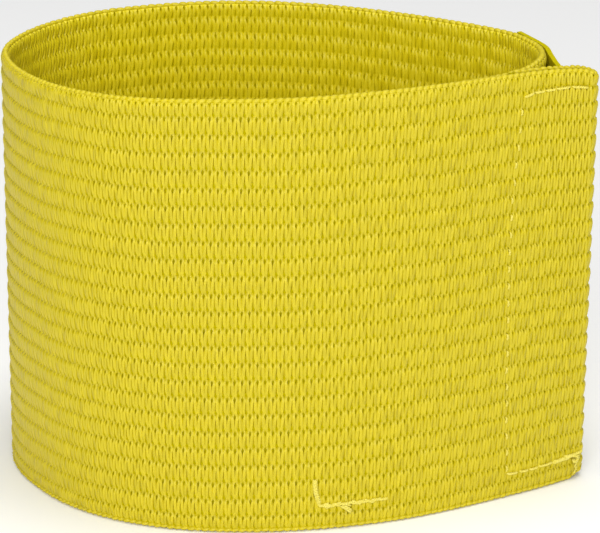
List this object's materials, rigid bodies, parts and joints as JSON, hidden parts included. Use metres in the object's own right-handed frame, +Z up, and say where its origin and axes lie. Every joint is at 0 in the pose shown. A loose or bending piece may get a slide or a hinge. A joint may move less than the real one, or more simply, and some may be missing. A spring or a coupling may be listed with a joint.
{
  "type": "armband",
  "caption": "Wide ribbed elastic armband fastened into an upright loop, with a folded and stitched end flap over a plain fastening tape.",
  "frame": {"origin": "on the ground below the middle of the armband's bounding box, where its lower edge stands", "axes": "+Z up along the arm hole; the stitched front wall faces -Y; the folded end flap is at +X"},
  "size_m": [0.1206, 0.0804, 0.09],
  "materials": {
    "elastic": "matt ribbed woven elastic, bright yellow",
    "tape": "matt plain napped fastening tape, dull yellow",
    "thread": "slightly glossy sewing thread, light yellow"
  },
  "bodies": {
    "root": {"band": "elastic", "hook_tape": "tape", "loop_tape": "tape"}
  },
  "joints": []
}
